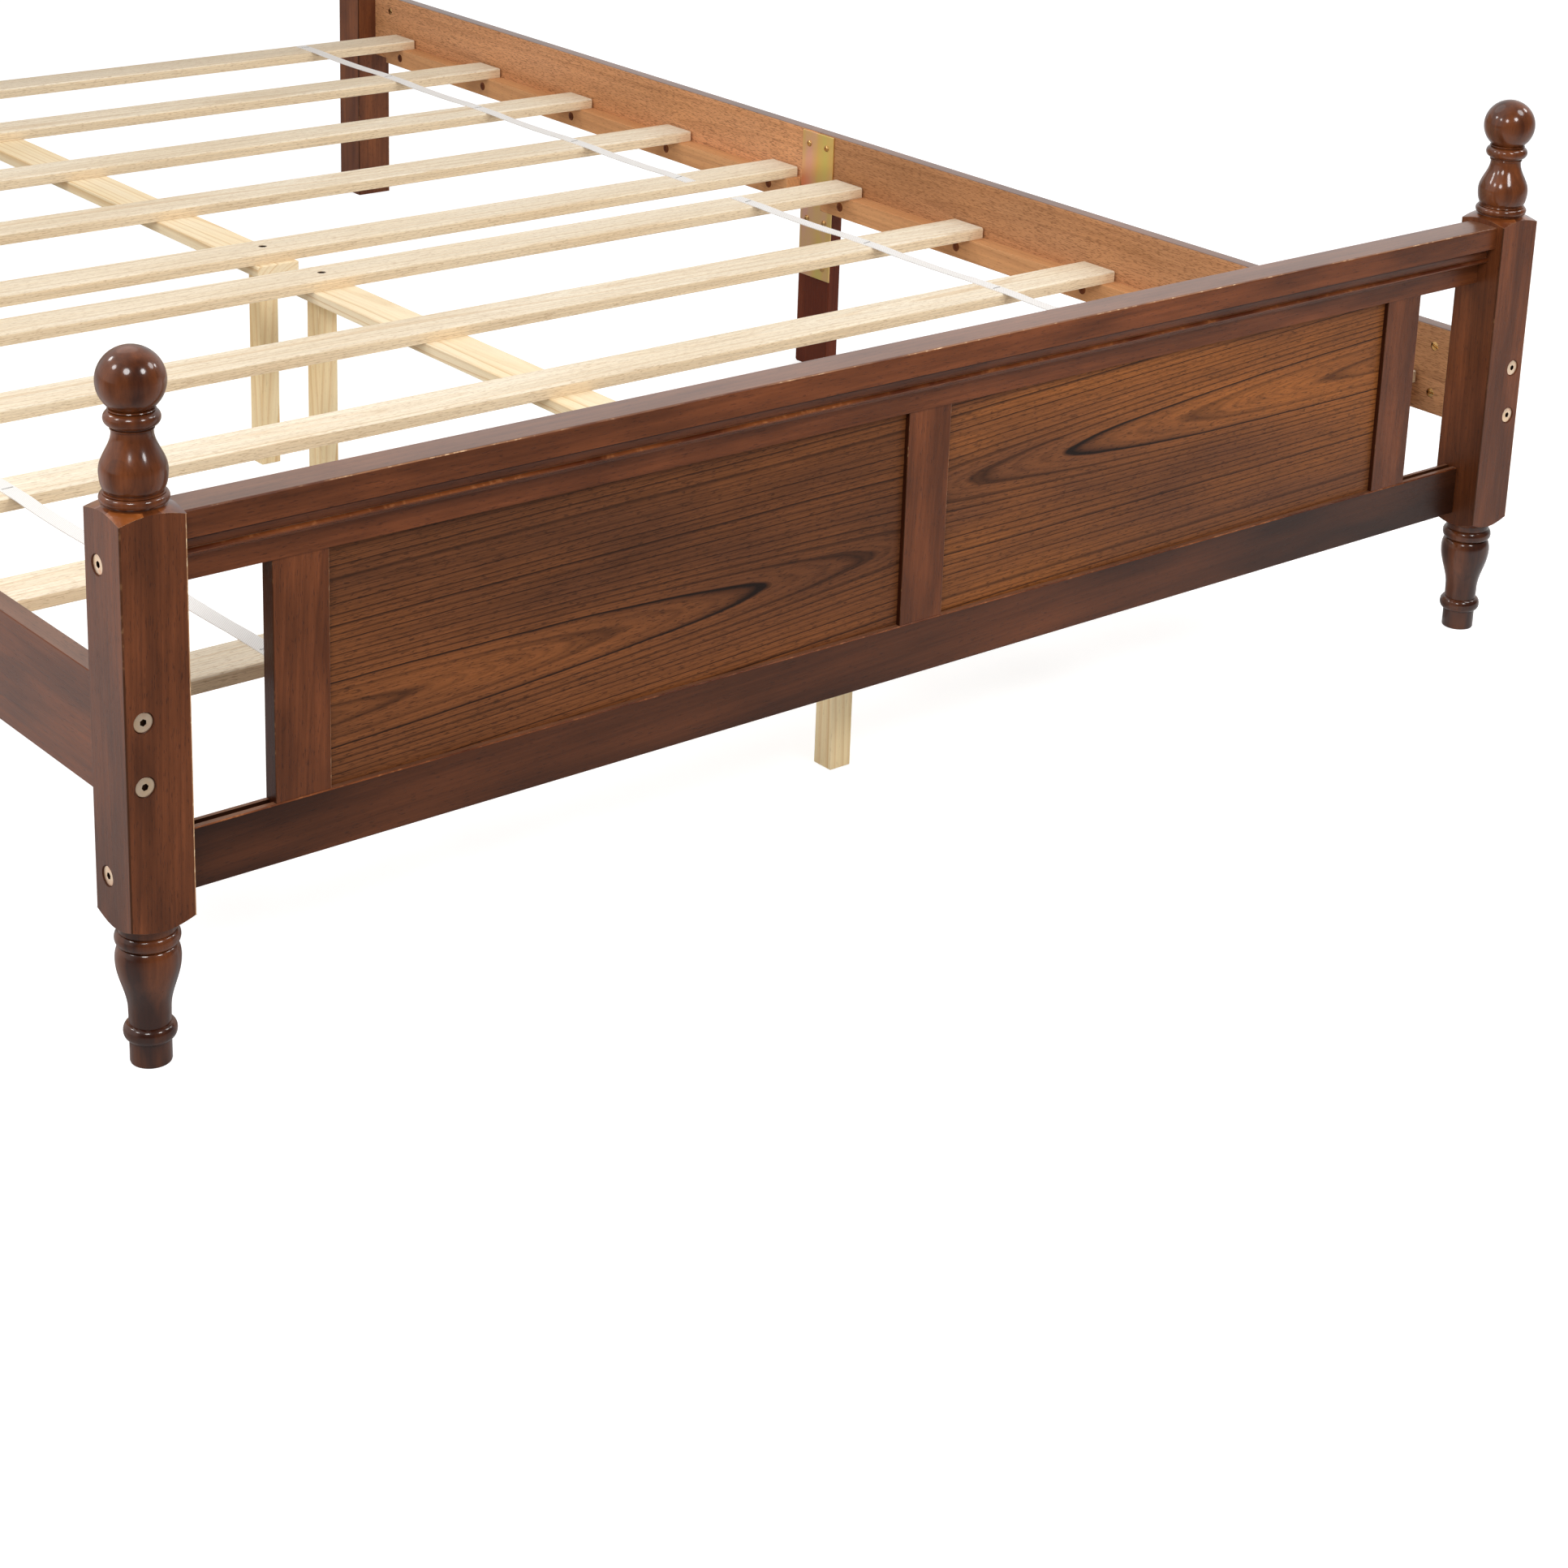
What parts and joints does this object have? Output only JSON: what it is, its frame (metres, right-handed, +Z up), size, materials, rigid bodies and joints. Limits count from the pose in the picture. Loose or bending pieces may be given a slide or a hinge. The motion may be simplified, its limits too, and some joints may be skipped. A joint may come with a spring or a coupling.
{
  "type": "bed with upholstered headboard",
  "caption": "Wooden bed with turned foot posts, a low panelled footboard, side rails with slats on cleats, centre supports and a padded headboard between square posts.",
  "frame": {"origin": "on the floor under the middle of the bed, where the side rails' halves meet", "axes": "+Z up, +Y from the foot end to the head end, +X to the right when seen from the foot end"},
  "size_m": [1.588, 2.209, 1.1985],
  "materials": {
    "walnut_stain": "gloss lacquer over dark walnut stain",
    "pale_slat": "bare planed laminated softwood",
    "yellow_pine": "bare planed pine",
    "cleat_wood": "light stain",
    "zinc_plate": "yellow zinc passivated",
    "bolt_bronze": "dark bronze plated",
    "slat_tape": "white woven tape",
    "headboard_linen": "plain woven linen"
  },
  "bodies": {
    "root": {"centre_beam_foot": "yellow_pine", "centre_beam_head": "yellow_pine", "centre_leg_foot_inner": "pale_slat", "centre_leg_foot_outer": "pale_slat", "centre_leg_head_inner": "pale_slat", "centre_leg_head_outer": "pale_slat", "cleat_left_foot": "cleat_wood", "cleat_left_head": "cleat_wood", "cleat_right_foot": "cleat_wood", "cleat_right_head": "cleat_wood", "foot_bolt_left_1": "bolt_bronze", "foot_bolt_left_2": "bolt_bronze", "foot_bolt_left_3": "bolt_bronze", "foot_bolt_left_4": "bolt_bronze", "foot_bolt_right_1": "bolt_bronze", "foot_bolt_right_2": "bolt_bronze", "foot_bolt_right_3": "bolt_bronze", "foot_bolt_right_4": "bolt_bronze", "foot_post_left": "walnut_stain", "foot_post_right": "walnut_stain", "footboard_bottom_rail": "walnut_stain", "footboard_panel_left": "walnut_stain", "footboard_panel_right": "walnut_stain", "footboard_stile_centre": "walnut_stain", "footboard_stile_left": "walnut_stain", "footboard_stile_right": "walnut_stain", "footboard_top_rail": "walnut_stain", "head_bolt_left_1": "bolt_bronze", "head_bolt_left_2": "bolt_bronze", "head_bolt_right_1": "bolt_bronze", "head_bolt_right_2": "bolt_bronze", "head_post_left": "walnut_stain", "head_post_right": "walnut_stain", "headboard_backing": "walnut_stain", "headboard_bottom_rail": "walnut_stain", "headboard_pad": "headboard_linen", "headboard_top_rail": "walnut_stain", "middle_leg_left": "walnut_stain", "middle_leg_right": "walnut_stain", "middle_plate_left": "zinc_plate", "middle_plate_right": "zinc_plate", "side_rail_left_foot": "walnut_stain", "side_rail_left_head": "walnut_stain", "side_rail_right_foot": "walnut_stain", "side_rail_right_head": "walnut_stain", "slat_foot_1": "pale_slat", "slat_foot_2": "pale_slat", "slat_foot_3": "pale_slat", "slat_foot_4": "pale_slat", "slat_foot_5": "pale_slat", "slat_head_1": "pale_slat", "slat_head_2": "pale_slat", "slat_head_3": "pale_slat", "slat_head_4": "pale_slat", "slat_head_5": "pale_slat", "tape_left_foot": "slat_tape", "tape_left_head": "slat_tape", "tape_right_foot": "slat_tape", "tape_right_head": "slat_tape"}
  },
  "joints": []
}
